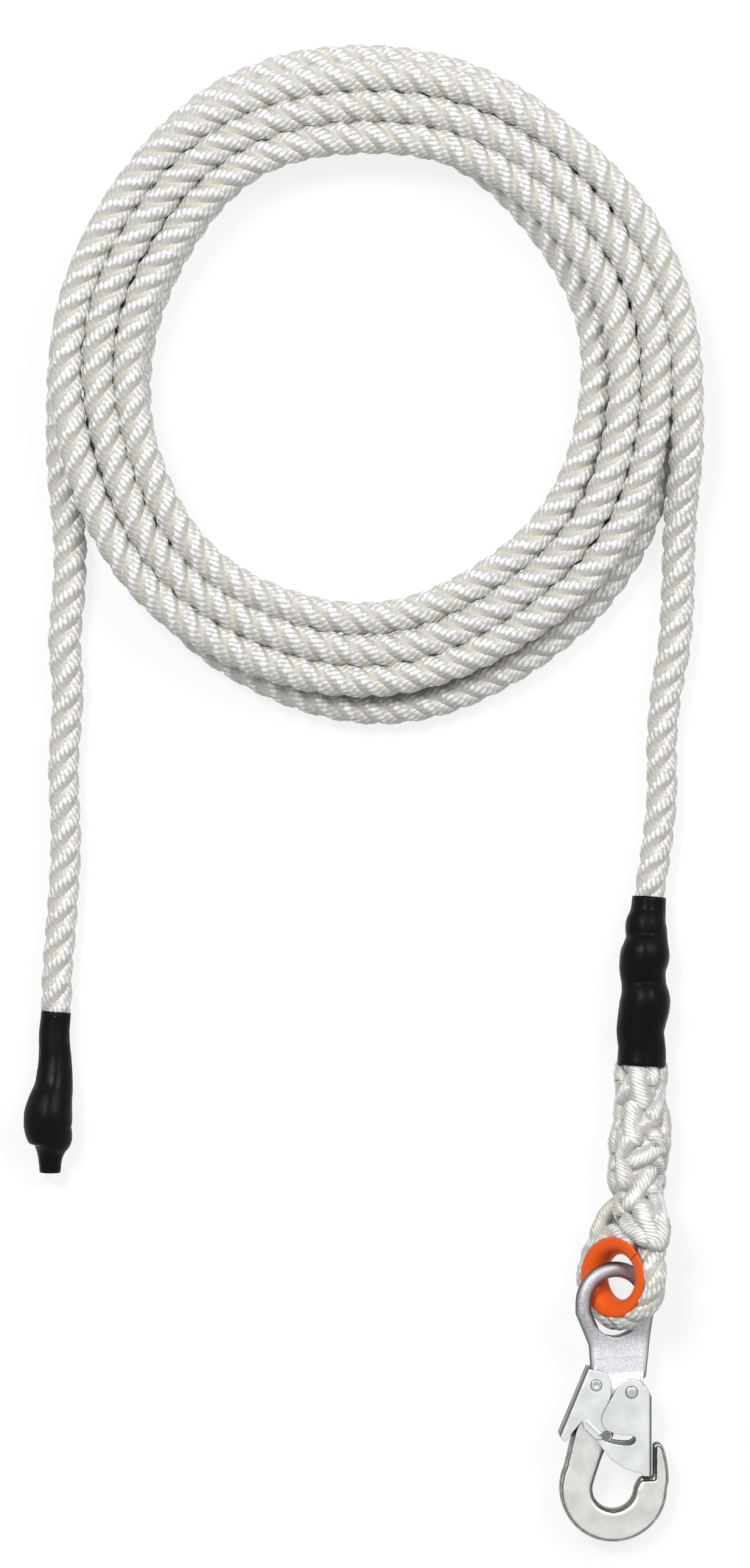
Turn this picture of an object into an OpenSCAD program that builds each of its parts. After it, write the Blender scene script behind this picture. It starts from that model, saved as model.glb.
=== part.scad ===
// Laid rope anchor line lying coiled on a flat surface.
// One end has a stopper knot under a shrunk sleeve. The other end is spliced round a plastic
// thimble that carries a forged snap hook with a self-locking gate.
// X runs to the right, Y runs away from the hook along the tails, Z is up.

/* [Rope] */
// Diameter of the rope
rope_d = 14; // [13.8:0.1:14]
// Sides of the tube that stands for a free stretch
tail_sides = 8; // [8:2:12]

/* [Coil] */
// Middle of the coil, to the right of the part's middle
coil_x = 6; // [5:0.5:7]
// Middle of the coil, up the page from the part's middle
coil_y = 192.5; // [191:0.5:194]
// Height from the middle of the lower layer to the middle of the upper layer
layer_step = 14.5; // [14.5:0.1:15]
// Radius at which the lower layer starts
low_start_r = 153.7; // [153:0.1:155]
// How far the lower layer draws in with each turn
low_rate = 16.7; // [16.6:0.1:17]
// Radius of the upper layer where the spiral reverses
up_start_r = 105.4; // [105:0.1:106]
// How far the upper layer widens with each turn
up_rate = 14.6; // [14.6:0.1:14.8]

/* [Sleeves] */
// Wall of the heat-shrunk sleeves
sleeve_wall = 0.9; // [0.6:0.1:1]

/* [Thimble] */
// Lean of the thimble, its right side up
thimble_lean = 40; // [39:1:41]
// Radius of the thimble's flanges
flange_r = 18.9; // [18.6:0.1:19]
// Half of the thimble's width
thimble_half = 7.6; // [7.5:0.1:7.7]
// Radius of the bore at its narrowest
bore_r = 10.6; // [10.5:0.1:10.7]
// Radius of the rope squeezed into the groove
eye_rope_r = 6.8; // [6.6:0.1:6.8]
// Radius from the thimble's middle to the middle of that rope
eye_r = 18.5; // [18.4:0.1:18.6]

/* [Hook] */
// Roll of the hook, its left side up
hook_roll = 3; // [2:1:4]
// Pitch of the hook, its bowl down
hook_pitch = 5; // [4.6:0.2:5]
// Twist of the eye against the shank, its left side up
eye_twist = 12; // [11:1:12]
// Half of the hook's thickness at the bowl
hook_half = 5.5; // [5.4:0.1:5.5]
// Radius of the bar of the eye ring
ring_bar_r = 3.7; // [3.6:0.1:3.8]
// Radius from the eye's middle to the middle of the bar
ring_r = 15.35; // [15.3:0.05:15.4]
// Radius of the inside of the bowl
bowl_r = 9.8; // [9.7:0.1:10]
// Radius of the outside of the bowl
bowl_outer_r = 25.2; // [25:0.1:25.4]

/* [Gate and lever] */
// Thickness of the sheet of the gate and of the lever
sheet = 1.2; // [1.1:0.05:1.2]
// Radius of the two rivets
rivet_r = 2.2; // [2:0.1:2.4]
// Radial clearance of the gate and lever on their rivets
rivet_clearance = 0.05; // [0.03:0.01:0.08]
// How far the gate opens, in degrees
gate_open = 26; // [20:1:26]
// How far the lever turns while the gate opens, in degrees
lever_turn = 3.9; // [3.5:0.1:4]

/* [Hidden] */
$fn = 64;

// Rope
rope_r = rope_d / 2;
rope_flat = rope_d / 10;              // depth of the flat on which the faceted rope lies
floor_z = rope_r - rope_flat;         // height of the middle of a rope that lies flat
coil_sides = 6;
ring_turn = 15;                       // degrees from one ring of the coil to the next
coil_from = 90;                       // turn angles, clockwise from straight down the page
coil_to = 2070;
spiral_back = 990;                    // where the spiral reverses
shift_from = 900;                     // where the lower spiral starts to become the upper one
shift_to = 1050;
climb_from = 930;                     // the half turn in which the rope climbs a layer
climb_to = 1110;
low_wide = -7.4;                      // the lower layer is narrower than it is tall
low_tall = 6.3;
low_dy = -4.3;
up_dx = -2.9;
up_dy = -1.1;

home = [-0.7, 0.4, 0];                // brings the middle of the whole part over the origin

// Routes of the free stretches, from the coil outwards
end_route = [
    [-140, 150, 5.6], [-137, 118, 5.6], [-137.5, 95, 5.6], [-139.5, 71, 5.6],
    [-138, 47, 5.6], [-140, 12, 5.6], [-139, -25, 5.6], [-141, -60, 5.6],
    [-143, -85, 5.6], [-143.5, -103, 6.6]
];
hook_route = [
    [152.5, 165, 19], [151.5, 150, 16], [150, 135, 12], [149, 118, 8.5],
    [148.5, 95, 6], [147, 70, 5.6], [143, 47, 5.6], [141, 24, 5.6], [141, -2, 5.6],
    [138.6, -25, 5.6], [135, -49, 7]
];

// Rows of the stopper sleeve: middle and outer radius
stopper_rows = [
    [-143.5, -103, 6.6, 7.1], [-144.3, -113, 7, 7.2], [-144, -126, 7.7, 7.8],
    [-144.6, -138, 9, 9], [-146.2, -146, 10.6, 10.6], [-147.2, -152, 11.4, 11.4],
    [-147, -158, 11.2, 11.2], [-145.6, -163, 10.2, 9.8], [-146, -168, 9, 7],
    [-146.3, -172, 8.4, 5.6], [-146.4, -178.5, 8, 4.9]
];
// Rows of the splice sleeve: middle and outer radius
splice_rows = [
    [135, -49, 7, 7.9], [134.5, -56, 8, 8.3], [133.6, -62, 9.5, 9.6],
    [133.8, -68, 9.8, 9.8], [133, -76, 11.6, 11.6], [132, -83, 11, 11],
    [132.4, -90, 10.5, 10.5], [133.1, -98, 11.9, 11.9], [131.7, -106, 11.6, 11.6],
    [130.8, -112, 11.3, 11.2], [131.6, -120, 11.2, 11.2], [131.2, -128.5, 11.5, 11.5]
];
// Rows of the bare splice, from the sleeve to the eye: middle, core and overall radius
bare_rows = [
    [131.2, -128.5, 11.5, 10.6, 11.5], [131.1, -136, 12.2, 11, 12.2],
    [130.7, -146, 12.4, 10.6, 12], [131.8, -154, 13.2, 11.6, 13.2],
    [130.4, -163, 14.6, 12.6, 14.5], [130.2, -171, 14, 11.6, 13.2],
    [128.8, -179, 14, 11.6, 13.4], [129.4, -187.5, 15.5, 10.4, 12],
    [132, -195.5, 19.5, 10, 13], [135, -203.5, 25.5, 8.4, 15],
    [136.2, -212, 30, 7.1, 15]
];
fit_gap = 0.05;                       // between a shrunk sleeve and what it grips
strand_r = 3.5;
strand_twist = 270;                   // turn of a tucked strand about the splice
strand_steps = 16;
strand_nest = 3.2;                    // from the middle of the rope to the middle of a strand
strand_lead = [0.6, 1, 0.4];          // how the strands leave the thimble, for each mm of Y

// Thimble and eye
thimble_at = [121.9, -227, 18.8];
eye_right = 5;                        // ends of the rope round the thimble, in its plane
eye_left = 125;
mouth_r = 14;                         // the bore flares to this radius at both faces
seam_at = 38;
seam_gap = 0.4;
groove_gap = 0.05;

// Hook, drawn flat in its own frame with the middle of its eye at the origin
eye_at = [119.4, -238.8, 16.5];
eye_x = -0.7;                         // the eye is a little off the line of the shank
eye_drop = 4.3;                       // and this much longer than it is wide
eye_hole_r = ring_r - ring_bar_r + 0.1;
web_half = 3.3;
web_top = -11;                        // the web ends here, clear of the thimble
neck_left = [[-9.6, -19.5], [-8.7, -33]];    // the two legs of the eye run into the shank
neck_right = [[12.7, -17], [10.8, -36]];
bevel = 1.2;
core_half = hook_half - 1.5;
bowl_at = [-1.4, -88.1];
bowl_outer_at = [-1.3, -87.9];
gate_at = [6.7, -41.7];
lever_at = [-9.8, -38.5];
pin_at = [-5.2, -62.2];
pin_r = 2.2;
slot_gap = 0.15;
slot_steps = 12;
plate_gap = 0.3;
lever_in = hook_half + plate_gap;     // inner faces of the lever's and gate's plates
lever_out = lever_in + sheet;
gate_in = lever_out + plate_gap;
gate_out = gate_in + sheet;
head_gap = 0.1;
head_h = 0.8;
gate_head_r = 2.9;
lever_head_r = 2.7;
spring_r = 3.4;
spring_wire_r = 0.5;
spring_pitch = 1.15;
pocket_half = 2.6;
pocket_r = 4.6;

rope_white = [0.93, 0.92, 0.88];
sleeve_black = [0.06, 0.06, 0.06];
thimble_orange = [0.9, 0.33, 0.08];
forged_steel = [0.72, 0.73, 0.74];
sheet_steel = [0.83, 0.85, 0.84];
rivet_steel = [0.6, 0.61, 0.62];
spring_steel = [0.45, 0.46, 0.48];

// ---- swept tubes ----

function unit(v) = v / norm(v);

// Direction of the line at point i, with given directions at its two ends
function heading(points, i, first, last) =
    i == 0 && !is_undef(first) ? unit(first)
    : i == len(points) - 1 && !is_undef(last) ? unit(last)
    : unit(points[min(i + 1, len(points) - 1)] - points[max(i - 1, 0)]);

// One ring of a tube: sides are level, so that an even number of sides has a flat below
function ring(middle, along, r, sides, ground) =
    let (side = unit(cross([0, 0, 1], along)), rise = cross(along, side))
    [for (j = [0:sides - 1])
        let (
            a = 360 * (j + (sides % 4 == 0 ? 0.5 : 0)) / sides,
            p = middle + r * (cos(a) * side + sin(a) * rise)
        )
        [p.x, p.y, ground ? max(p.z, 0) : p.z]
    ];

function rings(points, radii, sides, first, last, ground) =
    [for (i = [0:len(points) - 1])
        each ring(points[i], heading(points, i, first, last), radii[i], sides, ground)
    ];

// Triangles of the skin between ring after ring, numbered from a first corner
function skin(count, sides, from, outward) =
    [for (i = [0:count - 2], j = [0:sides - 1])
        let (
            a = from + i * sides + j,
            b = from + i * sides + (j + 1) % sides,
            c = b + sides,
            d = a + sides
        )
        each (outward ? [[a, b, c], [a, c, d]] : [[c, b, a], [d, c, a]])
    ];

function cap(sides, from, flip) =
    [for (j = [1:sides - 2])
        flip ? [from, from + j + 1, from + j] : [from, from + j, from + j + 1]
    ];

function collar(sides, outer, inner, flip) =
    [for (j = [0:sides - 1])
        let (k = (j + 1) % sides)
        each (flip
            ? [[outer + j, inner + j, inner + k], [outer + j, inner + k, outer + k]]
            : [[inner + k, inner + j, outer + j], [outer + k, inner + k, outer + j]])
    ];

// A closed tube along points, with a radius at each point
module tube(points, radii, sides, first, last, ground = true) {
    n = len(points);
    translate(ground ? home : [0, 0, 0])
    polyhedron(
        points = rings(points, radii, sides, first, last, ground),
        faces = concat(
            skin(n, sides, 0, false),
            cap(sides, 0, false),
            cap(sides, (n - 1) * sides, true)
        ),
        convexity = 10
    );
}

// A tube with a wall, open at both ends
module sleeve(points, radii, wall, sides, first, last) {
    n = len(points);
    inner = [for (r = radii) r - wall];
    inner_from = n * sides;
    translate(home)
    polyhedron(
        points = concat(
            rings(points, radii, sides, first, last, true),
            rings(points, inner, sides, first, last, false)
        ),
        faces = concat(
            skin(n, sides, 0, false),
            skin(n, sides, inner_from, true),
            collar(sides, 0, inner_from, false),
            collar(sides, (n - 1) * sides, inner_from + (n - 1) * sides, true)
        ),
        convexity = 10
    );
}

function constant(count, value) = [for (i = [1:count]) value];
function middles(rows) = [for (row = rows) [row[0], row[1], row[2]]];
function column(rows, i) = [for (row = rows) row[i]];

// ---- coil ----

function ease(t) = t <= 0 ? 0 : t >= 1 ? 1 : t * t * (3 - 2 * t);
function share(a, from, to) = ease((a - from) / (to - from));

function low_r(a) = low_start_r - low_rate * (a - coil_from) / 360;
function up_r(a) = up_start_r + up_rate * abs(a - spiral_back) / 360;
function low_point(a) = [
    -(low_r(a) + low_wide) * sin(a),
    low_dy - (low_r(a) + low_tall) * cos(a)
];
function up_point(a) = [up_dx - up_r(a) * sin(a), up_dy - up_r(a) * cos(a)];

// The middle of the rope at turn angle a
function coil_point(a) =
    let (
        w = share(a, shift_from, shift_to),
        flat = (1 - w) * low_point(a) + w * up_point(a)
    )
    [
        coil_x + flat.x,
        coil_y + flat.y,
        floor_z + layer_step * share(a, climb_from, climb_to)
    ];

coil_first = unit(coil_point(coil_from + 1) - coil_point(coil_from));
coil_last = unit(coil_point(coil_to) - coil_point(coil_to - 1));
coil_turns = [for (a = [coil_from:ring_turn:coil_to]) coil_point(a)];
coil_start = coil_turns[0] - rope_d * coil_first;
coil_end = coil_turns[len(coil_turns) - 1] + rope_d * coil_last;
coil_line = concat([coil_start], coil_turns, [coil_end]);

// Least distance between the middles of turns, measured at the rings and halfway
coil_marks = [for (a = [coil_from:ring_turn / 2:coil_to])
    let (
        i = floor((a - coil_from) / ring_turn + 0.01),
        f = (a - coil_from) / ring_turn - i,
        k = min(i + 1, len(coil_turns) - 1)
    )
    (1 - f) * coil_turns[i] + f * coil_turns[k]
];
marks_apart = round(180 / (ring_turn / 2));
coil_gap = min([for (i = [0:len(coil_marks) - 1])
    each [for (j = [i + marks_apart:1:len(coil_marks) - 1]) norm(coil_marks[i] - coil_marks[j])]
]) - rope_d;
coil_length = [for (i = [1:len(coil_line) - 1]) norm(coil_line[i] - coil_line[i - 1])]
    * constant(len(coil_line) - 1, 1);
echo(least_gap_between_turns = coil_gap, coil_length = coil_length);

module rope_coil() {
    color(rope_white)
        tube(coil_line, constant(len(coil_line), rope_r), coil_sides, coil_first, coil_last);
}

module rope_tail_end() {
    line = concat([coil_start], end_route);
    color(rope_white)
        tube(line, constant(len(line), rope_r), tail_sides, -coil_first, [0, -1, 0]);
}

module rope_tail_hook() {
    line = concat([coil_end], hook_route);
    color(rope_white)
        tube(line, constant(len(line), rope_r), tail_sides, coil_last, [0, -1, 0]);
}

// ---- stopper ----

stopper_sides = 12;

module end_knot() {
    grip = sleeve_wall + fit_gap;
    color(rope_white)
        tube(
            middles(stopper_rows), [for (r = column(stopper_rows, 3)) r - grip],
            stopper_sides, [0, -1, 0], [0, -1, 0]
        );
}

module end_sleeve() {
    color(sleeve_black)
        sleeve(
            middles(stopper_rows), column(stopper_rows, 3), sleeve_wall,
            stopper_sides, [0, -1, 0], [0, -1, 0]
        );
}

// ---- splice ----

splice_sides = 12;
// The eye's plane, in which its rope is drawn
function in_eye(a, r) = thimble_at + r * [
    cos(a) * cos(thimble_lean), sin(a), cos(a) * sin(thimble_lean)
];
eye_right_along = [
    sin(eye_right) * cos(thimble_lean), -cos(eye_right), sin(eye_right) * sin(thimble_lean)
];

module splice_sleeve() {
    color(sleeve_black)
        sleeve(
            middles(splice_rows), column(splice_rows, 3), sleeve_wall,
            splice_sides, [0, -1, 0], [0, -1, 0]
        );
}

module splice_core() {
    grip = sleeve_wall + fit_gap;
    line = concat(
        middles(splice_rows), [for (i = [1:len(bare_rows) - 1]) middles(bare_rows)[i]],
        [in_eye(eye_right, eye_r)]
    );
    radii = concat(
        [for (r = column(splice_rows, 3)) r - grip],
        [for (i = [1:len(bare_rows) - 1]) bare_rows[i][3]],
        [eye_rope_r]
    );
    color(rope_white)
        tube(line, radii, splice_sides, [0, -1, 0], eye_right_along);
}

// Direction of the rope where it leaves the thimble on the left
eye_left_along = [
    sin(eye_left) * cos(thimble_lean), -cos(eye_left), sin(eye_left) * sin(thimble_lean)
];
eye_left_side = [-sin(thimble_lean), 0, cos(thimble_lean)];
eye_left_out = cross(eye_left_side, eye_left_along);

// The middle of tucked strand k, t from 0 at the eye to 1 at the sleeve
function strand_point(k, t) =
    let (
        from = in_eye(eye_left, eye_r),
        y_top = splice_rows[len(splice_rows) - 1][1] - 1,
        y = (1 - t) * from.y + t * y_top,
        down = [for (i = [len(bare_rows) - 1:-1:0]) bare_rows[i]],
        x = lookup(y, [for (row = down) [row[1], row[0]]]),
        z = lookup(y, [for (row = down) [row[1], row[2]]]),
        r = lookup(y, [for (row = down) [row[1], row[4]]]) - strand_r,
        a = 120 * k + 200 - strand_twist * t,
        w = ease(t / 0.4),
        nest = strand_nest * (cos(120 * k) * eye_left_out + sin(120 * k) * eye_left_side),
        lead = from + nest + (y - from.y) * strand_lead
    )
    (1 - w) * lead + w * [x + r * cos(a), y, max(z + r * sin(a), strand_r)];

module splice_strand(k) {
    line = [for (i = [0:strand_steps]) strand_point(k, i / strand_steps)];
    radii = [for (i = [0:strand_steps]) strand_r * (1 - 0.35 * ease(i / strand_steps * 5 - 4))];
    color(rope_white)
        tube(line, radii, 8, line[1] - line[0], [0, 1, 0]);
}

module splice_strand_1() {
    splice_strand(0);
}

module splice_strand_2() {
    splice_strand(1);
}

module splice_strand_3() {
    splice_strand(2);
}

// ---- eye and thimble ----

module in_thimble() {
    translate(thimble_at + home)
        rotate([0, -thimble_lean, 0])
            children();
}

module rope_eye() {
    color(rope_white)
        in_thimble()
            rotate([0, 0, eye_left])
                rotate_extrude(angle = 360 - eye_left + eye_right)
                    translate([eye_r, 0])
                        circle(eye_rope_r);
}

module thimble() {
    flare = mouth_r - bore_r;
    bore_arc = (thimble_half * thimble_half + flare * flare) / (2 * flare);
    color(thimble_orange)
        in_thimble()
            difference() {
                rotate_extrude()
                    difference() {
                        translate([bore_r, -thimble_half])
                            square([flange_r - bore_r, 2 * thimble_half]);
                        translate([eye_r, 0])
                            circle(eye_rope_r + groove_gap);
                        translate([bore_r + bore_arc, 0])
                            mirror([1, 0])
                                bore_corner(bore_arc);
                    }
                rotate([0, 0, seam_at])
                    translate([0, -seam_gap / 2, -2 * thimble_half])
                        cube([2 * flange_r, seam_gap, 4 * thimble_half]);
            }
}

// What the flared bore leaves out of the thimble's section, drawn from the arc's middle
module bore_corner(arc) {
    difference() {
        translate([0, -2 * thimble_half])
            square([2 * arc, 4 * thimble_half]);
        circle(arc, $fn = 128);
    }
}

// ---- hook ----

module on_hook() {
    translate(eye_at + home)
        rotate([hook_pitch, 0, 0])
            rotate([0, hook_roll, 0])
                children();
}

module slab(half) {
    translate([0, 0, -half])
        linear_extrude(2 * half)
            children();
}

module at(place) {
    translate([place.x, place.y, 0])
        children();
}

// A polygon's corners, moved in by d; they run clockwise
function inset(p, d) =
    let (n = len(p))
    [for (i = [0:n - 1])
        let (
            a = unit(p[i] - p[(i + n - 1) % n]),
            b = unit(p[(i + 1) % n] - p[i]),
            na = [a.y, -a.x],
            nb = [b.y, -b.x]
        )
        p[i] + d * (na + nb) / (1 + na * nb)
    ];

// Shank, leg, bowl and nose of the forging, seen from the front; d is how far the edge is
// taken in
module hook_outline(d) {
    difference() {
        union() {
            at(bowl_outer_at)
                circle(bowl_outer_r - d);
            polygon(inset([
                [-26.3, -88], [-24.8, -79.5], [-23.1, -72.5], [-20.5, -61], [-17.5, -50],
                [-14.6, -38.5], [-12.6, -31.5], [-11.5, -29.5], [12.9, -32.5], [12.9, -34],
                [12.4, -37.6], [11.5, -45], [7, -53], [1, -59], [-3, -64], [-5, -88]
            ], d));
            polygon(inset([
                [4, -88], [9.8, -80], [17.4, -80], [17.4, -71.5], [16.9, -69.6],
                [17.4, -67.6], [19, -66.6], [20.8, -67], [22.2, -68.9], [23.3, -72.6],
                [24.3, -77.9], [24.7, -84.4], [23.9, -88], [20, -96]
            ], d));
        }
        at(bowl_at)
            circle(bowl_r + d);
        polygon(inset([
            [bowl_at.x - bowl_r, bowl_at.y], [-10.7, -85], [-9.4, -80.8], [-7.3, -74.4],
            [-5.5, -69.7], [1, -59], [17.4, -60], [17.4, -82.9], [11.8, -82.9],
            [10.2, -84.4], [bowl_at.x + bowl_r, bowl_at.y]
        ], -d));
    }
}

// Where a leg of the eye passes the top of the web
function web_corner(side, bend) =
    let (t = (-web_top - eye_drop) / (-bend.y - eye_drop))
    [(1 - t) * (eye_x + side * ring_r) + t * bend.x, web_top];

// Web between the legs of the eye
module neck_outline() {
    difference() {
        polygon([
            web_corner(-1, neck_left[0]), neck_left[0], neck_left[1], neck_right[1],
            neck_right[0], web_corner(1, neck_right[0])
        ]);
        translate([eye_x, -eye_drop])
            circle(eye_hole_r);
    }
}

// A round bar from one point to another in the eye's plane
module bar(from, to) {
    run = to - from;
    translate([from.x, from.y, 0])
        rotate([0, 0, atan2(run.y, run.x)])
            rotate([0, 90, 0])
                cylinder(h = norm(run), r = ring_bar_r);
}

module eye_ring() {
    translate([eye_x, 0, 0])
        rotate_extrude(angle = 180)
            translate([ring_r, 0])
                circle(ring_bar_r);
    for (side = [-1, 1]) {
        foot = [eye_x + side * ring_r, -eye_drop];
        leg = side < 0 ? neck_left : neck_right;
        bar([foot.x, 0], foot);
        bar(foot, leg[0]);
        bar(leg[0], leg[1]);
        for (bend = [foot, leg[0]])
            translate([bend.x, bend.y, 0])
                sphere(ring_bar_r + 0.06);
    }
}

// Room for a torsion spring: a round recess and the sector in which a leg swings
module spring_pocket(place, from, to, reach) {
    at(place)
        slab(pocket_half) {
            circle(pocket_r);
            polygon([
                [0, 0], reach * [cos(from), sin(from)],
                reach * 1.05 * [cos((from + to) / 2), sin((from + to) / 2)],
                reach * [cos(to), sin(to)]
            ]);
        }
}

module hook_body() {
    color(forged_steel)
        on_hook()
            difference() {
                union() {
                    rotate([0, eye_twist, 0]) {
                        eye_ring();
                        slab(web_half)
                            neck_outline();
                    }
                    slab(core_half)
                        hook_outline(0);
                    slab(hook_half)
                        hook_outline(bevel);
                }
                for (place = [gate_at, lever_at])
                    at(place)
                        cylinder(h = 4 * hook_half, r = rivet_r, center = true);
                spring_pocket(gate_at, -95, -20, 13);
                spring_pocket(gate_at, -115, -90, 6.5);
                spring_pocket(gate_at, 60, 132, 8.5);
                spring_pocket(lever_at, 205, 240, 11);
                spring_pocket(lever_at, 235, 268, 6.3);
                spring_pocket(lever_at, 40, 85, 7.5);
            }
}

// ---- gate, lever and what works them ----

function turn(v, a) = [v.x * cos(a) - v.y * sin(a), v.x * sin(a) + v.y * cos(a)];

// Where the lock pin stands in the gate, once the gate is a share t open
function pin_in_gate(t) =
    gate_at + turn(lever_at + turn(pin_at - lever_at, lever_turn * t) - gate_at, gate_open * t);

slot_line = [for (i = [0:slot_steps]) pin_in_gate(i / slot_steps)];
function slot_side(i, side) =
    let (
        n = len(slot_line) - 1,
        along = unit(slot_line[min(i + 1, n)] - slot_line[max(i - 1, 0)])
    )
    slot_line[i] + side * (pin_r + slot_gap) * [-along.y, along.x];

module pin_slot() {
    polygon(concat(
        [for (i = [0:slot_steps]) slot_side(i, 1)],
        [for (i = [slot_steps:-1:0]) slot_side(i, -1)]
    ));
    for (i = [0, slot_steps])
        translate(slot_line[i])
            circle(pin_r + slot_gap);
}

module gate_outline() {
    difference() {
        union() {
            at(gate_at)
                circle(6.3);
            polygon([
                [1.2, -38.2], [-1.5, -42.2], [-4.3, -47.2], [-6.8, -51.9], [-7.5, -54.4],
                [-7, -56.8], [-5.4, -59.2], [-4.8, -60.4], [-4.8, -64], [-9.9, -64.3],
                [-6.5, -69], [-2.2, -74], [3.2, -77.6], [7.8, -79.4], [11.7, -80.1],
                [12.1, -81.5], [16.3, -81.5], [16.3, -44.4], [14.6, -40.8], [11.6, -37.7]
            ]);
        }
        at(gate_at)
            circle(rivet_r + rivet_clearance);
        pin_slot();
    }
}

module both_faces(inside, outside) {
    for (side = [0, 1])
        mirror([0, 0, side])
            translate([0, 0, inside])
                linear_extrude(outside - inside)
                    children();
}

module gate() {
    spine = [[16.3 - sheet, -81.5], [16.3, -81.5], [16.3, -44.4], [16.3 - sheet, -41.9]];
    color(sheet_steel)
        on_hook() {
            both_faces(gate_in, gate_out)
                gate_outline();
            slab(gate_out)
                polygon(spine);
        }
}

module lever_outline() {
    difference() {
        union() {
            at(lever_at)
                circle(7);
            polygon([
                [-14, -30.6], [-27.1, -62.2], [-24.6, -65.4], [-20.9, -60.8],
                [-16.3, -55.1], [-15.6, -58.7], [-9.6, -64.5], [-6.2, -65.6], [-3.2, -64.9],
                [-2.2, -62.6], [-4.4, -55.5], [-4.6, -50], [-2.8, -44], [-2.8, -38.5],
                [-9.8, -31.5]
            ]);
        }
        at(lever_at)
            circle(rivet_r + rivet_clearance);
    }
}

module lock_lever() {
    spine = [[-14, -30.6], [-27.1, -62.2], [-26, -62.9], [-12.8, -30.9]];
    color(sheet_steel)
        on_hook() {
            both_faces(lever_in, lever_out)
                lever_outline();
            slab(lever_out)
                polygon(spine);
        }
}

module rivet(place, shank_half, head_r) {
    color(rivet_steel)
        on_hook()
            at(place) {
                cylinder(h = 2 * shank_half, r = rivet_r, center = true);
                for (side = [0, 1])
                    mirror([0, 0, side])
                        translate([0, 0, shank_half])
                            cylinder(h = head_h, r = head_r);
            }
}

module gate_rivet() {
    rivet(gate_at, gate_out + head_gap, gate_head_r);
}

module lever_rivet() {
    rivet(lever_at, lever_out + head_gap, lever_head_r);
}

module lock_pins() {
    color(rivet_steel)
        on_hook()
            at(pin_at)
                for (side = [0, 1])
                    mirror([0, 0, side])
                        translate([0, 0, lever_out])
                            cylinder(h = gate_out - lever_out + head_gap, r = pin_r);
}

// A torsion spring: turns from angle from to angle to, with a straight leg at each end
module torsion_spring(place, from, to, first_leg, last_leg) {
    steps = round(abs(to - from) / 30);
    rise = spring_pitch * abs(to - from) / 360;
    way = to > from ? 1 : -1;
    turns = [for (i = [0:steps])
        let (a = from + (to - from) * i / steps)
        [spring_r * cos(a), spring_r * sin(a), rise * (i / steps - 0.5)]
    ];
    start = turns[0] - way * first_leg * [-sin(from), cos(from), 0];
    finish = turns[steps] + way * last_leg * [-sin(to), cos(to), 0];
    line = concat([start], turns, [finish]);
    color(spring_steel)
        on_hook()
            at(place)
                tube(line, constant(len(line), spring_wire_r), 6, ground = false);
}

module gate_spring() {
    torsion_spring(gate_at, -201.5, 965.3, 6, 10.2);
}

module lever_spring() {
    torsion_spring(lever_at, 9.2, -1158.7, 5, 8.5);
}

rope_coil();
rope_tail_end();
rope_tail_hook();
end_knot();
end_sleeve();
splice_sleeve();
splice_core();
splice_strand_1();
splice_strand_2();
splice_strand_3();
rope_eye();
thimble();
hook_body();
gate();
gate_rivet();
gate_spring();
lock_lever();
lever_rivet();
lever_spring();
lock_pins();
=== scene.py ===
"""Looks of the anchor line: a laid rope, two shrunk sleeves, a spliced eye and a snap hook.

Sizes are in millimetres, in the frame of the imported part, until a mesh is made of them.
"""

import math

import bmesh
import bpy
import numpy as np
from mathutils import Matrix, Vector, noise
from mathutils.kdtree import KDTree


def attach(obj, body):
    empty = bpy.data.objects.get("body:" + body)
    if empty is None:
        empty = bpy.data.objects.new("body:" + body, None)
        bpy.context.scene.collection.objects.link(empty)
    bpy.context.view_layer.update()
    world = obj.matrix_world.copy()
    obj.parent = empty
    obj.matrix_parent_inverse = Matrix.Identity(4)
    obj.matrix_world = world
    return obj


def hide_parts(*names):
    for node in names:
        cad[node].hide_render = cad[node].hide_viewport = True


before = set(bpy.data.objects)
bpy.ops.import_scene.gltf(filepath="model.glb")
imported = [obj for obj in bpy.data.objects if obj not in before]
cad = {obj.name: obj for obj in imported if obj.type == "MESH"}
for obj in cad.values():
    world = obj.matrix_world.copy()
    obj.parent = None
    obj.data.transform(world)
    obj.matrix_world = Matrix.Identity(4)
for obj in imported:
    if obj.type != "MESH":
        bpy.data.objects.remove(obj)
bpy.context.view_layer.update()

MM = 0.001
TURN = 2 * math.pi


def placed(name, data):
    """A new object in the scene."""
    obj = bpy.data.objects.new(name, data)
    bpy.context.scene.collection.objects.link(obj)
    return obj


# ---- camera ----

VIEW_MIDDLE = (5.6, 4.4)  # the point of the part under the middle of the picture
VIEW_TALL = 736.0  # what the picture's height takes in
VIEW_PLANE = 12.0  # at this height above the ground
LENS = 250.0
SENSOR = 36.0
CLIP = 0.1, 50.0  # how near and how far the camera sees, in metres


def make_camera():
    data = bpy.data.cameras.new("camera")
    data.lens = LENS
    data.sensor_width = SENSOR
    data.clip_start, data.clip_end = CLIP
    camera = placed("camera", data)
    height = VIEW_PLANE + VIEW_TALL * LENS / SENSOR
    camera.location = [v * MM for v in (*VIEW_MIDDLE, height)]
    bpy.context.scene.camera = camera


make_camera()


# ---- routes, the same as in part.scad ----

HOME = np.array([-0.7, 0.4, 0.0])  # from the middle of the routes to the part's origin
RISE = 2.0  # a laid rope rests on its strands, the plain tube on the flat cut from it
COIL_AT = np.array([6.0, 192.5])
FLOOR_Z = 5.6  # height of the rope's middle where it lies on the ground
ABOVE_GROUND = 0.05  # the least gap under what else lies there
LAYER_STEP = 14.5  # how much higher the coil's upper layer lies
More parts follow.
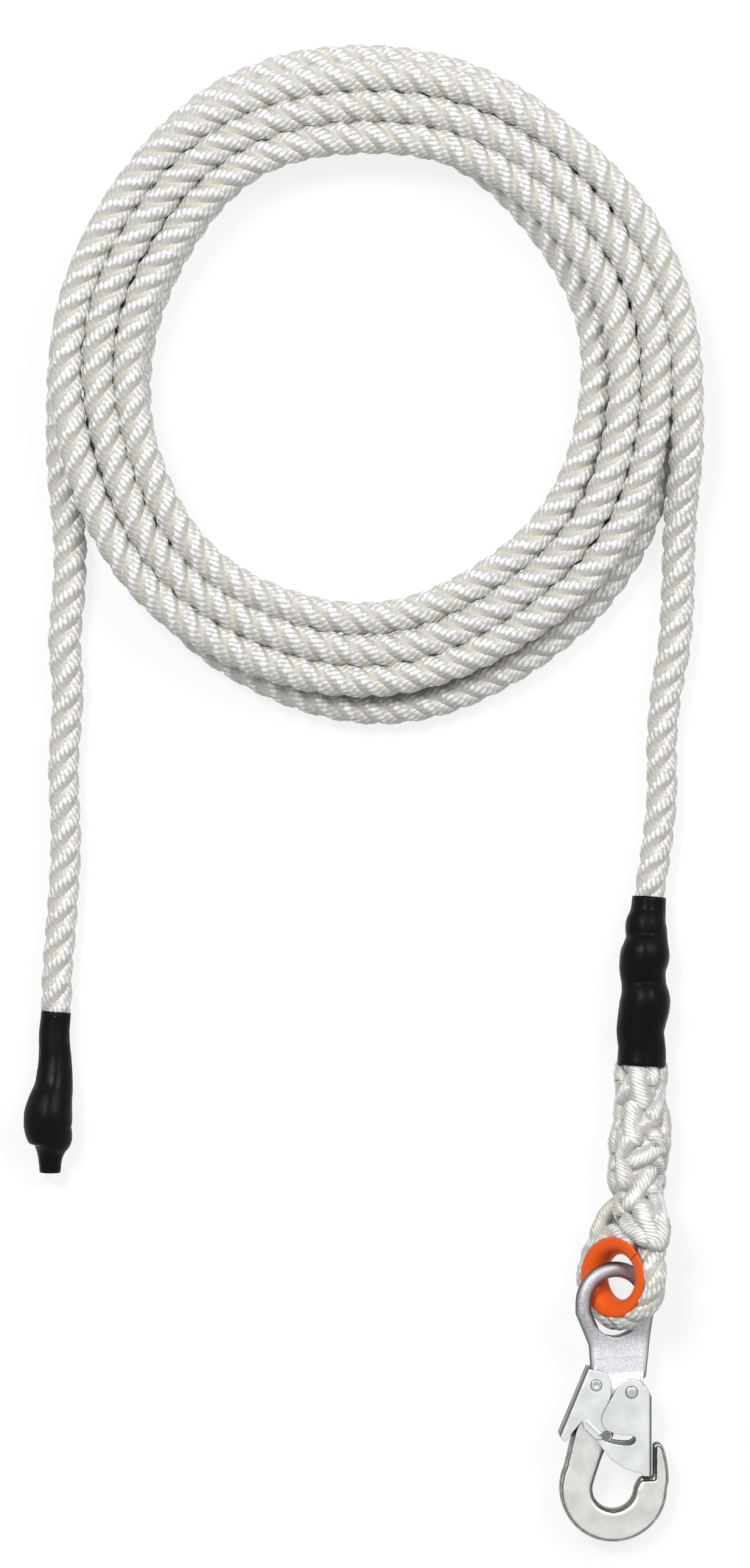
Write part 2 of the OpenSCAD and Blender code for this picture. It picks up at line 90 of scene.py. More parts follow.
# The lower spiral: radius, how far it draws in with a turn, and what makes an oval of it
LOW_R, LOW_RATE, LOW_WIDE, LOW_TALL, LOW_DY = 153.7, 16.7, -7.4, 6.3, -4.3
# The upper spiral: least radius, how far it widens with a turn, and its middle
UP_R, UP_RATE, UP_DX, UP_DY = 105.4, 14.6, -2.9, -1.1
COIL_FROM, COIL_TO, COIL_STEP = 90, 2070, 5  # turn angles of the coil's points
SPIRAL_BACK = 990  # where the drawing in ends and the widening starts
SHIFT = (900, 1050)  # where the rope goes over from the lower spiral to the upper
CLIMB = (930, 1110)  # and where it rises by a layer

# Points on the middle of the two tails, from the coil outwards
END_ROUTE = [
    (-140, 150, 5.6), (-137, 118, 5.6), (-137.5, 95, 5.6), (-139.5, 71, 5.6),
    (-138, 47, 5.6), (-140, 12, 5.6), (-139, -25, 5.6), (-141, -60, 5.6),
    (-143, -85, 5.6), (-143.5, -103, 6.6),
]
HOOK_ROUTE = [
    (152.5, 165, 19), (151.5, 150, 16), (150, 135, 12), (149, 118, 8.5), (148.5, 95, 6),
    (147, 70, 5.6), (143, 47, 5.6), (141, 24, 5.6), (141, -2, 5.6), (138.6, -25, 5.6),
    (135, -49, 7),
]
# Middle and radius of the two sleeves and of the bare splice
STOPPER_ROWS = [
    (-143.5, -103, 6.6, 7.1), (-144.3, -113, 7, 7.2), (-144, -126, 7.7, 7.8),
    (-144.6, -138, 9, 9), (-146.2, -146, 10.6, 10.6), (-147.2, -152, 11.4, 11.4),
    (-147, -158, 11.2, 11.2), (-145.6, -163, 10.2, 9.8), (-146, -168, 9, 7),
    (-146.3, -172, 8.4, 5.6), (-146.4, -178.5, 8, 4.9),
]
SPLICE_ROWS = [
    (135, -49, 7, 7.9), (134.5, -56, 8, 8.3), (133.6, -62, 9.5, 9.6),
    (133.8, -68, 9.8, 9.8), (133, -76, 11.6, 11.6), (132, -83, 11, 11),
    (132.4, -90, 10.5, 10.5), (133.1, -98, 11.9, 11.9), (131.7, -106, 11.6, 11.6),
    (130.8, -112, 11.3, 11.2), (131.6, -120, 11.2, 11.2), (131.2, -128.5, 11.5, 11.5),
]
BARE_ROWS = [
    (131.6, -120, 11.2, 11.2), (131.2, -128.5, 11.5, 11.5), (131.1, -136, 12.2, 12.2),
    (130.7, -146, 12.4, 12), (131.8, -154, 13.2, 13.2), (130.4, -163, 14.6, 14.5),
    (130.2, -171, 14, 13.2), (128.8, -179, 14, 13.4), (129.4, -187.5, 15.5, 12),
    (132, -195.5, 19.5, 13), (135, -203.5, 25.5, 15), (136.2, -212, 30, 15),
]
THIMBLE_AT = np.array([121.9, -227, 18.8])
THIMBLE_LEAN = math.radians(40)
EYE_R = 18.5  # from the thimble's middle to the middle of the rope round it


def ease(t):
    """A smooth step from 0 to 1."""
    t = np.clip(t, 0, 1)
    return t * t * (3 - 2 * t)


def passing(value, span):
    """The same, as a value goes through a span from its first end to its second."""
    return ease((value - span[0]) / (span[1] - span[0]))


def coil_point(a):
    """The middle of the rope at turn angle a, clockwise from straight down the page."""
    turn = math.radians(a)
    low = LOW_R - LOW_RATE * (a - COIL_FROM) / 360
    up = UP_R + UP_RATE * abs(a - SPIRAL_BACK) / 360
    s, c = math.sin(turn), math.cos(turn)
    low_xy = np.array([-(low + LOW_WIDE) * s, LOW_DY - (low + LOW_TALL) * c])
    up_xy = np.array([UP_DX - up * s, UP_DY - up * c])
    over = passing(a, SHIFT)
    place = COIL_AT + (1 - over) * low_xy + over * up_xy
    return np.array([*place, FLOOR_Z + LAYER_STEP * passing(a, CLIMB)])


SPAN_POINTS = 17  # fine points from one given point of a route to the next


def smooth_line(points, step):
    """Points about step apart on a smooth curve through the given ones."""
    p = np.asarray(points, float)
    p = np.vstack([2 * p[0] - p[1], p, 2 * p[-1] - p[-2]])
    knots = np.concatenate([[0], np.cumsum(np.linalg.norm(np.diff(p, axis=0), axis=1) ** 0.5)])
    fine = []
    for i in range(1, len(p) - 2):
        t0, t1, t2, t3 = knots[i - 1 : i + 3]
        t = np.linspace(t1, t2, SPAN_POINTS)[:, None]
        a1 = (t1 - t) / (t1 - t0) * p[i - 1] + (t - t0) / (t1 - t0) * p[i]
        a2 = (t2 - t) / (t2 - t1) * p[i] + (t - t1) / (t2 - t1) * p[i + 1]
        a3 = (t3 - t) / (t3 - t2) * p[i + 1] + (t - t2) / (t3 - t2) * p[i + 2]
        b1 = (t2 - t) / (t2 - t0) * a1 + (t - t0) / (t2 - t0) * a2
        b2 = (t3 - t) / (t3 - t1) * a2 + (t - t1) / (t3 - t1) * a3
        c = (t2 - t) / (t2 - t1) * b1 + (t - t1) / (t2 - t1) * b2
        fine.append(c if i == len(p) - 3 else c[:-1])
    fine = np.vstack(fine)
    along = lengths(fine)
    count = max(2, round(along[-1] / step) + 1)
    marks = np.linspace(0, along[-1], count)
    return np.stack([np.interp(marks, along, fine[:, k]) for k in range(p.shape[1])], axis=1)


def lengths(line):
    """Distance along a line at each of its points."""
    return np.concatenate([[0], np.cumsum(np.linalg.norm(np.diff(line[:, :3], axis=0), axis=1))])


def unit(v):
    return v / np.linalg.norm(v, axis=-1, keepdims=True)


def sleeve_rows(rows):
    """Rows of a sleeve in the part's frame: it lies on the ground with its own roundness."""
    r = np.array(rows, float)
    r[:, :3] += HOME
    r[:, 2] = np.maximum(r[:, 2], r[:, 3] + ABOVE_GROUND)
    return r


# How far the turns stray, how often in a turn, and from where: all alike, and each on its own
WAVER = (1.1, 3, 0.4), (0.7, 7, 2.1)
OWN_WAVER = (0.35, 2.3, 1.0), (0.25, 5.7, 4.0)
WAVER_EASE = 60.0  # turn angle over which the straying starts and stops


def wavering(a):
    """How far the rope strays from its smooth turn at a turn angle, away from the middle."""
    turn = math.radians(a)
    both = WAVER + OWN_WAVER
    stray = sum(far * math.sin(often * turn + start) for far, often, start in both)
    return stray * float(ease(min(a - COIL_FROM, COIL_TO - a) / WAVER_EASE))


def rope_route():
    """Points on the rope's middle from the stopper knot through the coil to the splice."""
    coil = []
    for a in range(COIL_FROM, COIL_TO + 1, COIL_STEP):
        point = coil_point(a)
        point[:2] += wavering(a) * unit(point[:2] - COIL_AT)
        coil.append(point)
    line = np.array([*END_ROUTE[:-1][::-1], *coil, *HOOK_ROUTE[:-1]], float) + HOME
    line[:, 2] += RISE
    first = sleeve_rows(STOPPER_ROWS)[:2, :3]
    last = sleeve_rows(SPLICE_ROWS)[:2, :3]
    return np.vstack([first[1], first[0], line, last[0], last[1]])


# ---- meshes ----


def mesh_object(name, verts, faces, uv=None, inner=None):
    """A piece from points in mm. uv holds a pair for each corner, inner a depth for each point,
    which the rope's material paints as shade.
    """
    mesh = bpy.data.meshes.new(name)
    mesh.from_pydata((np.asarray(verts) * MM).tolist(), [], faces)
    if uv is not None:
        layer = mesh.uv_layers.new(name="strand")
        layer.data.foreach_set("uv", np.asarray(uv, np.float32).ravel())
    if inner is not None:
        depth = mesh.attributes.new("inner", "FLOAT", "POINT")
        depth.data.foreach_set("value", np.asarray(inner, np.float32))
    mesh.polygons.foreach_set("use_smooth", [True] * len(mesh.polygons))
    mesh.validate()
    return placed(name, mesh)


def level_frames(line):
    """Directions across and above a line, with no turn of their own about it."""
    along = unit(np.gradient(line, axis=0))
    side = unit(np.cross((0.0, 0.0, 1.0), along))
    return side, np.cross(along, side)


def skin(rings, columns, u, v):
    """Faces between ring after ring of closed columns, and the uv of their corners.

    u holds the left and right value of each column, v the value of each ring.
    """
    i, j = np.meshgrid(np.arange(rings - 1), np.arange(columns), indexing="ij")
    k = (j + 1) % columns
    this, following = i * columns, (i + 1) * columns
    quads = np.stack([this + j, this + k, following + k, following + j], -1)
    left, right = u[0][j], u[1][j]
    uv = np.stack([
        np.stack([left, v[i]], -1), np.stack([right, v[i]], -1),
        np.stack([right, v[i + 1]], -1), np.stack([left, v[i + 1]], -1),
    ], axis=2)
    return quads.reshape(-1, 4).tolist(), uv.reshape(-1, 2)


def with_caps(verts, faces, uv, columns):
    """Closes a tube at both ends with a fan about a middle point."""
    count = len(verts)
    first, last = verts[:columns].mean(0), verts[-columns:].mean(0)
    verts = np.vstack([verts, first, last])
    fans = [[count, (j + 1) % columns, j] for j in range(columns)]
    top = count - columns
    fans += [[count + 1, top + j, top + (j + 1) % columns] for j in range(columns)]
    flat = np.zeros((3 * len(fans), 2))
    return verts, faces + fans, np.vstack([uv, flat])


# ---- laid rope ----

ROPE_STEP = 1.6  # from ring to ring of the long rope
LAY = 37.0  # length of one turn of a strand
STRAND_AT = 2.9  # from the middle of the rope to the middle of a strand
STRAND_THICK = 4.5  # half of a strand's thickness, from the middle of the rope outwards
STRAND_WIDE = 4.95  # half of its width, across the rope
CROWN = STRAND_AT + STRAND_THICK
GROOVE = 5.6  # how far from the middle two strands meet
STRAND_LONGER = math.hypot(1, TURN * STRAND_AT / LAY)  # a strand's length to the rope's

YARNS = 11  # yarns round a laid strand
YARN_TURN = 20.6  # length of strand in which a yarn goes once round it
YARN_DEEP = 0.3  # how deep the valley between two yarns is
BENT_YARNS, BENT_TURN, BENT_DEEP = 9, 17.0, 0.22  # the same for a strand bent into the splice
YARN_COLUMNS = 3  # columns of faces on a yarn: one in the valley beside it, two on its back
FLANK = 0.8  # how deep the side of a bent strand counts for the painted shade, its crown being 0
SLACK = (0.17, 5.9), (0.11, 3.7)  # how far a yarn stands out and dips, and how often
slack_phase = np.random.default_rng(7).uniform(0, TURN, (len(SLACK), YARNS))


def strand_skin(line, v, section, number=0, yarns=YARNS, turn=YARN_TURN, deep=YARN_DEEP):
    """Points, faces and uv of one strand whose columns follow its yarns.

    v is its length at each point, section its two directions and half of its size in each.
    In the uv map a yarn keeps its place across, and the strand's length runs up in metres.
    """
    out, across, thick, wide = section
    columns = yarns * YARN_COLUMNS
    lane = np.arange(columns) / columns
    angle = TURN * (lane[None, :] - v[:, None] / turn)
    lift = np.where(np.arange(columns) % YARN_COLUMNS == 0, -deep, 0.0)[None, :]
    yarn = np.arange(columns) // YARN_COLUMNS
    for (high, often), phase in zip(SLACK, slack_phase):
        lift = lift + high * np.sin(TURN * v[:, None] / often + (phase[yarn] + number)[None, :])
    x = (np.reshape(thick, (-1, 1)) + lift) * np.cos(angle)
    y = (np.reshape(wide, (-1, 1)) + lift) * np.sin(angle)
    verts = line[:, None, :] + x[..., None] * out[:, None, :] + y[..., None] * across[:, None, :]
    u = lane * yarns / YARNS + number
    faces, uv = skin(len(line), columns, (u, u + 1 / (YARNS * YARN_COLUMNS)), v * MM)
    return with_caps(verts.reshape(-1, 3), faces, uv, columns)


def laid_rope(name, line, squeeze, shade=0.0):
    """Three strands laid round each other along a line; squeeze is how tight they lie there.

    shade is the least depth written on them, for a rope that lies under others; the material paints
    depth as shade.
    """
    side, rise = level_frames(line)
    far = lengths(line)
    verts, faces, uv, depth = [], [], [], []
    for k in range(3):
        turn = TURN * (far / LAY + k / 3)
        c, s = np.cos(turn)[:, None], np.sin(turn)[:, None]
        out, across = c * side + s * rise, c * rise - s * side
        middle = line + STRAND_AT * squeeze[:, None] * out
        section = out, across, STRAND_THICK * squeeze, STRAND_WIDE * squeeze
        v, f, t = strand_skin(middle, far * STRAND_LONGER, section, k)
        faces += [[i + k * len(v) for i in face] for face in f]
        rings = v[:-2].reshape(len(line), -1, 3)
        reach = np.linalg.norm(rings - line[:, None], axis=2)
        # depth from crown to groove: the material paints it as a highlight at 0 and as shade
        # towards 1
        deep = np.clip((CROWN - reach / squeeze[:, None]) / (CROWN - GROOVE), shade, 1)
        verts.append(v)
        uv.append(t)
        depth += [*deep.ravel(), 1, 1]
    return mesh_object(name, np.vstack(verts), faces, np.vstack(uv), depth)


def strand_tube(name, line, thick, wide, core, depth):
    """A bent strand on its own; its section is flat towards the line called core."""
    along = unit(np.gradient(line, axis=0))
    away = line - core
    out = unit(away - along * (away * along).sum(axis=1)[:, None])
    across = np.cross(along, out)
    bent = {"yarns": BENT_YARNS, "turn": BENT_TURN, "deep": BENT_DEEP}
    verts, faces, uv = strand_skin(line, lengths(line), (out, across, thick, wide), **bent)
    rings = verts[:-2].reshape(len(line), -1, 3)
    # painted shade: the strand's sides are written deeper than its crown, and so are painted grey
    height = ((rings - line[:, None]) * out[:, None]).sum(axis=2) / np.reshape(thick, (-1, 1))
    own = np.append(FLANK * (1 - height).ravel(), (1, 1)).clip(0, 1)
    return mesh_object(name, verts, faces, uv, np.maximum(own, depth(verts)))


SQUEEZED = 0.9  # the rope's share of its size where a sleeve holds it
SQUEEZE_LONG = 16.0  # length of rope over which it is squeezed
COIL_FULL = 1.09  # its share of its size in the coil, where no pull draws it thin
COIL_LOW = 20.0  # the tails are below this on the page
COIL_EASE = 60.0  # and over this height from there the rope fills out


def rope_fullness(line):
    """The rope's share of its size along its length."""
    far = lengths(line)
    ends = ease(np.minimum(far, far[-1] - far) / SQUEEZE_LONG)
    in_coil = ease((line[:, 1] - COIL_LOW) / COIL_EASE)
    return SQUEEZED + (1 - SQUEEZED) * ends + (COIL_FULL - 1) * in_coil


rope_path = smooth_line(rope_route(), ROPE_STEP)
fullness = rope_fullness(rope_path)
rope_path[:, 2] += CROWN * np.maximum(fullness - 1, 0)
rope = laid_rope("laid_rope", rope_path, fullness)


# ---- spliced eye ----

SPLICE_STEP = 1.3  # from ring to ring of what is spliced
SPLICE_FROM, SPLICE_TO = -122.0, -204.0
SPLICE_TOP = 36.0  # the splice stays below this height
SPLICE_THICK = 3.5  # half of a bent strand's thickness
WIDER = 1.2  # how much wider the strands lie than the list says
HEART_UNDER = 1.9, 5.5  # how far the heart lies under the splice's surface, above and below
HEART_THINS = -176.0, -194.0  # where it goes over from the one to the other
HEART_SHADE = 0.55  # the least depth written on it, so that it is painted as shade under the strands
DEEP_OVER, DEEP_FROM = 4.5, 0.3  # depth grows by 1 over so many mm, and starts so much later
MOUTH_Y, MOUTH_EASE = -129.5, 3.0  # the sleeve ends here, and the strands go into it over this
IN_SLEEVE = 1.0  # how much deeper the strands lie in it
SIDE_CLEAR = 1.2  # how far they stay from its sides
DIVE, DIVE_FAST = 5.0, 3.6  # how deep a strand's end dives under its neighbours, and how fast
END_SIZE, END_FAST = 0.55, 3.0  # an end's share of the strand's size, and how fast it grows
LEAST_ROWS = 6  # a strand with no more rows than this is left out

# Strands on the upper side of the splice: half of the width, then the middle line on the
# page. Each comes up from under its neighbours at one end and dives under them at the other.
BENT_STRANDS = [
    (3.5, (122.9, -123.5), (121.9, -128.5), (121.7, -132.9), (122.4, -137.1), (124, -140)),
    (3.3, (126.2, -135.5), (123.8, -140.4), (122, -145.2), (121.6, -149.5), (123, -153.5)),
    (4.1, (128, -123.5), (129.4, -131), (130, -136), (130.8, -141), (131.9, -146), (133, -150)),
    (3.6, (141.5, -123.5), (140.4, -132), (139.3, -140), (138, -146), (136, -151.4), (134, -156)),
    (3.2, (133, -123.5), (135.2, -129), (135.8, -133), (135, -138)),
    (4.0, (128.5, -142.5), (127.4, -148.5), (127, -153.6), (126.6, -158), (127.6, -162),
     (129.5, -166)),
    (3.5, (138, -145), (141, -149.8), (142, -154.8), (141.6, -160), (140.8, -165), (139.5, -169)),
    (3.6, (124, -155), (120.6, -158.2), (119.2, -162), (119, -166), (120, -170), (122, -173.5)),
    (3.9, (127.5, -159.5), (124, -164.5), (123, -169), (122.9, -173), (123.2, -178), (124.3, -187)),
    (3.7, (133, -158.5), (137.3, -161.2), (138.4, -165), (136.2, -168.4), (131.7, -171),
     (123, -174.4)),
    (3.3, (123, -172.5), (119.4, -176), (118.4, -180), (119, -184), (121, -187.5)),
    (3.1, (121.5, -182.5), (120.4, -186.5), (122, -189.8), (125.5, -190.5)),
    (3.4, (136.5, -163.5), (140.2, -168.5), (140.6, -172.5), (139.4, -177), (137, -180)),
    (3.4, (135.5, -168.5), (138.6, -174), (139, -178.5), (137.8, -183), (135, -187)),
    (3.7, (137, -174.5), (134.2, -178.6), (131.4, -183.6), (128.6, -188.2), (125.8, -192.4),
     (123.5, -196)),
    (4.3, (132, -181.5), (136.3, -187.5), (138.6, -193), (139.5, -198), (139.8, -204),
     (139, -210), (136, -215)),
    (4.3, (129, -190.5), (131.4, -195), (133, -199.5), (135.2, -204.5), (136.6, -209.5),
     (135, -214.5)),
    (4.2, (120.5, -189), (120.6, -194.5), (122.4, -199.3), (125.4, -202.8), (129.3, -205.6),
     (133, -209), (135, -213)),
]
# Strands of the rope's end on their way from the thimble to the splice, with their height.
RETURNING = [
    (3.6, (108.5, -211, 12.5), (111.8, -203.5, 13), (113.8, -199, 13.5), (116.4, -195.3, 14.5),
     (120, -192.5, 15.5), (125, -189.5, 14)),
    (3.8, (112, -210, 9), (116, -203, 9), (120, -197.5, 8.5), (124, -192, 8), (128, -186, 9)),
]
BACK_TO = -196.0  # on the lower side the same strands go down as far as this

EYE_SQUEEZE = 0.95  # the rope's share of its size in the thimble's groove
EYE_ENTRY = -201, -207  # where it leaves the splice
EYE_FROM, EYE_TO, EYE_STEP = 8, -312, -8  # its way round the thimble, in the thimble's plane
EYE_START, EYE_EASE = 0.6, 14.0  # its share of its size at first, and the length of its growth


def row_at(y):
    """Middle and overall radius of the bare splice at y, in the part's frame."""
    rows = np.array(BARE_ROWS, float)[::-1]
    x, z, r = (np.interp(y - HOME[1], rows[:, 1], rows[:, i]) for i in (0, 2, 3))
    return np.array([x + HOME[0], y, min(max(z, r + ABOVE_GROUND), SPLICE_TOP - r)]), r


def eye_point(theta):
    """Middle of the eye's rope at an angle in the thimble's plane."""
    c, s = math.cos(THIMBLE_LEAN), math.sin(THIMBLE_LEAN)
    out = np.array([math.cos(theta) * c, math.sin(theta), math.cos(theta) * s])
    return THIMBLE_AT + HOME + EYE_R * out


def bent_strand(width, points, back):
    """Rows of a bent strand: its middle, the splice's middle, and half of its section."""
    points = np.array(points, float)
    page = smooth_line(points + HOME[: points.shape[1]], SPLICE_STEP)
    if back:
        page = page[page[:, 1] > BACK_TO]
    far = np.linspace(0, 1, len(page))
    rows = []
    for (x, y, *z), share in zip(page, np.minimum(far, 1 - far) * 2):
        middle, r = row_at(y)
        reach = r - SPLICE_THICK - IN_SLEEVE * ease((y - MOUTH_Y) / MOUTH_EASE + 1)
        if y > MOUTH_Y:  # in the sleeve
            x = middle[0] + np.clip(x - middle[0], SIDE_CLEAR - reach, reach - SIDE_CLEAR)
        up = math.sqrt(max(reach**2 - (x - middle[0]) ** 2, 0))
        up -= DIVE * (1 - ease(share * DIVE_FAST))
        point = np.array([x, y, *(z or [middle[2] + up])])
        if back:
            point = 2 * middle - point
            point[1] = y
        size = END_SIZE + (1 - END_SIZE) * ease(share * END_FAST)
        rows.append([*point, *middle, SPLICE_THICK * size, WIDER * width * size])
    return np.array(rows)


def splice_depth(verts):
    """How deep a point of the splice lies: 0 on its surface, 1 next to the heart; the material
    paints it as shade.
    """
    depth = []
    for p in verts:
        middle, r = row_at(p[1])
        reach = math.hypot(p[0] - middle[0], p[2] - middle[2])
        depth.append(np.clip((r - reach) / DEEP_OVER - DEEP_FROM, 0, 1))
    return np.array(depth)


def joined(name, objects):
    """One piece of several meshes."""
    bm = bmesh.new()
    for obj in objects:
        bm.from_mesh(obj.data)
        bpy.data.objects.remove(obj)
    mesh = bpy.data.meshes.new(name)
    bm.to_mesh(mesh)
    bm.free()
    return placed(name, mesh)


def make_splice():
    """Three pieces with every third bent strand each, on both sides, and the heart."""
    groups = [[], [], []]

    def lay(group, width, points, back):
        rows = bent_strand(width, points, back)
        if len(rows) > LEAST_ROWS:
            line, core, thick, wide = rows[:, :3], rows[:, 3:6], rows[:, 6], rows[:, 7]
            group.append(strand_tube("bent", line, thick, wide, core, splice_depth))

    for i, (width, *points) in enumerate(BENT_STRANDS):
        for back in (False, True):
            lay(groups[i % 3], width, points, back)
    for group, (width, *points) in zip(groups, RETURNING):
        lay(group, width, points, False)
    pieces = [joined(f"splice_strands_{k + 1}", group) for k, group in enumerate(groups)]

    rows = [row_at(y) for y in np.arange(SPLICE_FROM, SPLICE_TO, -SPLICE_STEP)]
    core = np.array([m for m, _ in rows])
    under = HEART_UNDER[0] + (HEART_UNDER[1] - HEART_UNDER[0]) * passing(core[:, 1], HEART_THINS)
    full = (np.array([r for _, r in rows]) - under) / CROWN
    return pieces + [laid_rope("splice_heart", core, full, HEART_SHADE)]


def make_eye():
    """The laid rope from the end of the splice round the thimble and back to its throat."""
    entry = [row_at(y)[0] for y in EYE_ENTRY]
    ring = [eye_point(math.radians(theta)) for theta in range(EYE_FROM, EYE_TO, EYE_STEP)]
    line = smooth_line(np.array([*entry, *ring]), SPLICE_STEP)
    size = EYE_START + (1 - EYE_START) * ease(lengths(line) / EYE_EASE)
    return laid_rope("eye_rope", line, EYE_SQUEEZE * size)


splice_pieces = make_splice()
eye_rope = make_eye()


# ---- thimble ----

SEAM_AT, SEAM_GAP = 38.0, 0.4  # where the thimble is split, in its plane, and how wide
SEAM_SOFT, SEAM_THIN = 1.1, 0.3  # how far its edges are rounded there, and how much
SEAM_RINGS = 0, 0.15, 0.4, 0.7, 1.1, 1.7  # how far from the seam the first rings stand
RING_FROM, RING_TO, RING_STEP = 7.0, 6.0, 2.4  # where the others begin and end, in degrees
FOLD_AT, FOLD_DEEP, FOLD_WIDE = 88.0, 0.22, 0.9  # a shallow crease across its flange
FOLD_FROM, FOLD_EASE = 5.0, 2.0  # and at what height on the flange it starts
GROOVE_R = 6.85  # the groove's own radius, about the middle of the eye's rope
# Radius and height of the face of the thimble, from the bore's middle to the flange's tip
FUNNEL = [
    (10.6, 0), (10.75, 1.4), (11.15, 3), (11.9, 4.6), (13.0, 6.0), (14.3, 6.95), (15.8, 7.4),
    (17.4, 7.58), (18.3, 7.5), (18.75, 7.25), (18.9, 6.9),
]
FUNNEL_STEP = 0.55
THIN_LEAST = 0.01  # where the section is thinner than this it isn't drawn in


def thimble_section():
    """The face from flange to flange, and the groove's side of it, point against point."""
    half = smooth_line(FUNNEL, FUNNEL_STEP)
    face = np.vstack([half[::-1], half[1:] * (1, -1)])
    tip = math.acos((half[-1, 0] - EYE_R) / GROOVE_R)
    turn = np.linspace(tip, TURN - tip, len(face))
    groove = np.stack([EYE_R + GROOVE_R * np.cos(turn), GROOVE_R * np.sin(turn)], axis=1)
    return face, groove


def thimble_ring(section, inward, angle, from_seam):
    """The section at an angle, thinner next to the seam and creased at the fold."""
    round_off = 1 - math.sqrt(1 - max(1 - from_seam / SEAM_SOFT, 0) ** 2)
    size = np.linalg.norm(inward, axis=1, keepdims=True)
    thinner = np.minimum(size, SEAM_THIN * round_off)
    r, h = (section + inward / np.maximum(size, THIN_LEAST) * thinner).T
    off = math.radians(angle - FOLD_AT) * r
    crease = FOLD_DEEP * np.exp(-((off / FOLD_WIDE) ** 2))
    h = h - np.sign(h) * crease * ease((np.abs(h) - FOLD_FROM) / FOLD_EASE)
    t = math.radians(angle)
    return np.stack([r * math.cos(t), r * math.sin(t), h], axis=1)


def make_thimble():
    """The split ring: a soft funnel from both flanges to the bore, and the rope's groove."""
    face, groove = thimble_section()
    section = np.vstack([face, groove[::-1]])
    middle = np.vstack([(face + groove) / 2, (face + groove)[::-1] / 2])
    gap = math.degrees(SEAM_GAP / 2 / EYE_R)
    start, end = SEAM_AT + gap, SEAM_AT + 360 - gap
    soft = np.degrees(np.array(SEAM_RINGS) / EYE_R)
    plain = np.arange(start + RING_FROM, end - RING_TO, RING_STEP)
    rings = []
    for angle in np.concatenate([start + soft, plain, (end - soft)[::-1]]):
        from_seam = math.radians(min(angle - start, end - angle)) * EYE_R
        rings.append(thimble_ring(section, middle - section, angle, from_seam))
    c, s = math.cos(THIMBLE_LEAN), math.sin(THIMBLE_LEAN)
    lean = np.array([(c, 0, s), (0, 1, 0), (-s, 0, c)])
    verts = np.vstack(rings) @ lean + THIMBLE_AT + HOME
    columns = len(section)
    lane = np.arange(columns) / columns
    faces, _ = skin(len(rings), columns, (lane, lane + 1 / columns), np.arange(len(rings)) * MM)
    for first, order in ((0, 1), ((len(rings) - 1) * columns, -1)):  # the seam's two sides
        for i in range(len(face) - 1):
            k = columns - 1 - i
            faces.append([first + j for j in (i, i + 1, k - 1, k)][::order])
    return mesh_object("split_thimble", verts, [f[::-1] for f in faces])


thimble = make_thimble()


# ---- shrunk sleeves ----

SLEEVE_STEP, SLEEVE_SIDES = 1.1, 48
SLEEVE_WALL, SLEEVE_LIP = 0.9, 7.0  # thickness, and how far into its ends it is seen
LIP_THIN, LIP_ROUND = 0.7, 0.15  # the wall's share inside its edge, and how the edge is rounded
# Lumps and ripples: how high, how close round the sleeve, how long, and which way a seed moves
SLEEVE_NOISE = (0.25, 2.2, 9, 1), (0.12, 7, 2.5, -1)


def sleeve_lumps(angle, far, seed):
    """How far a sleeve stands out at angles round it, at a distance along it."""
    lumps = []
    for a in angle:
        c, s = math.cos(TURN * a), math.sin(TURN * a)
        lumps.append(sum(
            high * noise.noise(Vector((close * c, close * s, far / long + way * seed)))
            for high, close, long, way in SLEEVE_NOISE
        ))
    return np.array(lumps)


def shrunk_sleeve(name, rows, seed):
    """A sleeve shrunk on what it holds: lumps from below, fine ripples and a lip at each end."""
    fine = smooth_line(sleeve_rows(rows), SLEEVE_STEP)
    line, radii = fine[:, :3], fine[:, 3]
    side, rise = level_frames(line)
    s = lengths(line)
    angle = np.arange(SLEEVE_SIDES) / SLEEVE_SIDES
    c, sn = np.cos(TURN * angle)[:, None], np.sin(TURN * angle)[:, None]

    def ring(i, shrink):
        r = np.full(SLEEVE_SIDES, radii[i] - shrink)
        if shrink < SLEEVE_WALL:
            r += sleeve_lumps(angle, s[i], seed)
        p = line[i] + r[:, None] * (c * side[i] + sn * rise[i])
        p[:, 2] = np.maximum(p[:, 2], ABOVE_GROUND)
        return p

    last = len(line) - 1
    depth = int(SLEEVE_LIP / SLEEVE_STEP)
    edge = [SLEEVE_WALL, SLEEVE_WALL * LIP_THIN]
    into = [ring(depth - i, SLEEVE_WALL) for i in range(depth)] + [ring(0, w) for w in edge]
    outside = [ring(i, LIP_ROUND if i in (0, last) else 0) for i in range(last + 1)]
    out = [ring(last, w) for w in edge[::-1]]
    out += [ring(last - i, SLEEVE_WALL) for i in range(1, depth)]
    rings = into + outside + out
    v = np.concatenate([[0] * len(into), s * MM, [s[-1] * MM] * len(out)])
    faces, uv = skin(len(rings), SLEEVE_SIDES, (angle, angle + 1 / SLEEVE_SIDES), v)
    return mesh_object(name, np.vstack(rings), faces, uv)


end_sleeve = shrunk_sleeve("shrunk_sleeve_end", STOPPER_ROWS, 3.0)
hook_sleeve = shrunk_sleeve("shrunk_sleeve_hook", SPLICE_ROWS, 11.0)

KNOT_FROM, KNOT_UNDER = 2.5, 1.0  # how far down its sleeve it starts, and how far under it lies
KNOT_SIDES, KNOT_DEPTH = 36, 0.6  # the depth is what its colour follows: at this depth the face is painted grey and cream, as painted shade
